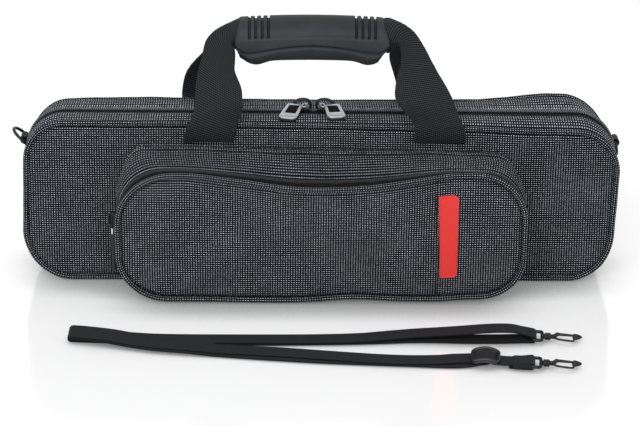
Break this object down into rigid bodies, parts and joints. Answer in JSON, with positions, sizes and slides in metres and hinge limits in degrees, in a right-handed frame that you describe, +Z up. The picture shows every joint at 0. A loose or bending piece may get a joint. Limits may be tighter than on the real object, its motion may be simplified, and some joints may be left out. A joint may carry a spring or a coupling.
{
  "type": "flute case",
  "caption": "Soft zip-around flute case with a front pocket, a two-part carrying grip on webbing, D-rings and a detached shoulder strap with snap hooks.",
  "frame": {"origin": "underside of the closed case, midway along it, on the parting plane between the two halves", "axes": "+X along the case to its right end, -Y towards the pocket side, +Z up"},
  "size_m": [0.461, 0.2379, 0.1982],
  "materials": {
    "tweed": "woven nylon with light flecks",
    "webbing": "black ribbed polypropylene webbing",
    "zip_cloth": "black zipper tape and coil",
    "foam": "moulded polystyrene foam",
    "plush": "black plush lining",
    "rubber_grip": "moulded charcoal rubber",
    "red_label": "plain red rubber patch",
    "black_metal": "black enamelled metal",
    "grey_metal": "satin grey cast metal",
    "black_plastic": "black acetal"
  },
  "bodies": {
    "front_half": {"front_shell": "foam", "front_panel": "tweed", "front_gusset": "tweed", "front_piping": "tweed", "front_zipper_tape": "zip_cloth", "front_zipper_coil": "zip_cloth", "front_hinge_cloth": "tweed", "lid_pad": "plush", "pocket_gusset": "tweed", "pocket_zipper_fixed": "zip_cloth", "pocket_lower_gusset": "tweed", "front_web_end_left": "webbing", "front_web_end_right": "webbing"},
    "back_half": {"back_shell": "foam", "back_panel": "tweed", "back_gusset": "tweed", "back_piping": "tweed", "back_zipper_tape": "zip_cloth", "back_zipper_coil": "zip_cloth", "back_hinge_cloth": "tweed", "flute_insert": "plush", "back_web_end_left": "webbing", "back_web_end_right": "webbing", "ring_tab_left": "webbing", "ring_tab_right": "webbing"},
    "front_handle": {"front_web_left": "webbing", "front_web_right": "webbing", "grip_front": "rubber_grip"},
    "back_handle": {"back_web_left": "webbing", "back_web_right": "webbing", "grip_back": "rubber_grip"},
    "slider_left": {"slider_left": "black_metal"},
    "slider_right": {"slider_right": "black_metal"},
    "pull_left": {"pull_left": "grey_metal"},
    "pull_right": {"pull_right": "grey_metal"},
    "ring_left": {"ring_left": "black_metal"},
    "ring_right": {"ring_right": "black_metal"},
    "pocket_flap": {"pocket_panel": "tweed", "pocket_piping": "tweed", "pocket_zipper_moving": "zip_cloth", "label": "red_label"},
    "pocket_slider": {"pocket_slider": "black_metal"},
    "pocket_pull": {"pocket_pull": "black_metal"},
    "strap": {"strap_webbing": "webbing", "strap_end": "webbing", "hook_eye_a": "black_metal", "hook_eye_b": "black_metal"},
    "triglide": {"triglide": "black_plastic"},
    "hook_a": {"hook_body_a": "black_metal"},
    "hook_b": {"hook_body_b": "black_metal"},
    "gate_a": {"hook_gate_a": "black_metal"},
    "gate_b": {"hook_gate_b": "black_metal"}
  },
  "joints": [
    {"name": "case_opening", "type": "hinge", "parent": "front_half", "child": "back_half", "pos_m": [0, 0, 0], "axis": [1, 0, 0], "range_deg": [-170, 0]},
    {"name": "front_handle_swing", "type": "hinge", "parent": "front_half", "child": "front_handle", "pos_m": [0, -0.0374, 0.1194], "axis": [1, 0, 0], "range_deg": [0, 100]},
    {"name": "back_handle_swing", "type": "hinge", "parent": "back_half", "child": "back_handle", "pos_m": [0, 0.0374, 0.1194], "axis": [1, 0, 0], "range_deg": [-100, 0]},
    {"name": "slider_left_travel", "type": "slide", "parent": "front_half", "child": "slider_left", "axis": [-1, 0, 0], "range_m": [0, 0.165]},
    {"name": "slider_right_travel", "type": "slide", "parent": "front_half", "child": "slider_right", "axis": [1, 0, 0], "range_m": [0, 0.176]},
    {"name": "pull_left_flip", "type": "hinge", "parent": "slider_left", "child": "pull_left", "pos_m": [-0.0141, 0, 0.1288], "axis": [1, 0, 0], "range_deg": [-166, 0]},
    {"name": "pull_right_flip", "type": "hinge", "parent": "slider_right", "child": "pull_right", "pos_m": [0.0029, 0, 0.1288], "axis": [1, 0, 0], "range_deg": [-166, 0]},
    {"name": "ring_left_swing", "type": "hinge", "parent": "back_half", "child": "ring_left", "pos_m": [-0.2244, 0.019, 0.0945], "axis": [0, 1, 0], "range_deg": [-120, 40]},
    {"name": "ring_right_swing", "type": "hinge", "parent": "back_half", "child": "ring_right", "pos_m": [0.2244, 0.019, 0.0945], "axis": [0, 1, 0], "range_deg": [-160, 0]},
    {"name": "pocket_opening", "type": "hinge", "parent": "front_half", "child": "pocket_flap", "pos_m": [0, -0.078, 0.001], "axis": [1, 0, 0], "range_deg": [0, 24]},
    {"name": "pocket_slider_travel", "type": "hinge", "parent": "front_half", "child": "pocket_slider", "pos_m": [-0.115, -0.0713, 0.065], "axis": [0, 1, 0], "range_deg": [0, 80]},
    {"name": "pocket_pull_swing", "type": "hinge", "parent": "pocket_slider", "child": "pocket_pull", "pos_m": [-0.15335, -0.0713, 0.0666], "axis": [0, 1, 0], "range_deg": [0, 115]},
    {"name": "strap_lift_off", "type": "slide", "parent": "front_half", "child": "strap", "axis": [0, 0, 1], "range_m": [0, 0.25]},
    {"name": "triglide_travel", "type": "slide", "parent": "strap", "child": "triglide", "axis": [-0.9945, 0.1045, 0], "range_m": [0, 0.06]},
    {"name": "hook_a_swivel", "type": "hinge", "parent": "strap", "child": "hook_a", "pos_m": [0.16163, -0.14315, 0.0029], "axis": [0.9945, -0.1045, 0], "continuous": true},
    {"name": "hook_b_swivel", "type": "hinge", "parent": "strap", "child": "hook_b", "pos_m": [0.15643, -0.18885, 0.0029], "axis": [0.9945, -0.1045, 0], "continuous": true},
    {"name": "gate_a_opening", "type": "hinge", "parent": "hook_a", "child": "gate_a", "pos_m": [0.16992, -0.13945, 0.0029], "axis": [0, 0, 1], "range_deg": [-24, 0], "stiffness_Nm_per_rad": 0.02},
    {"name": "gate_b_opening", "type": "hinge", "parent": "hook_b", "child": "gate_b", "pos_m": [0.16472, -0.18515, 0.0029], "axis": [0, 0, 1], "range_deg": [-24, 0], "stiffness_Nm_per_rad": 0.02}
  ]
}
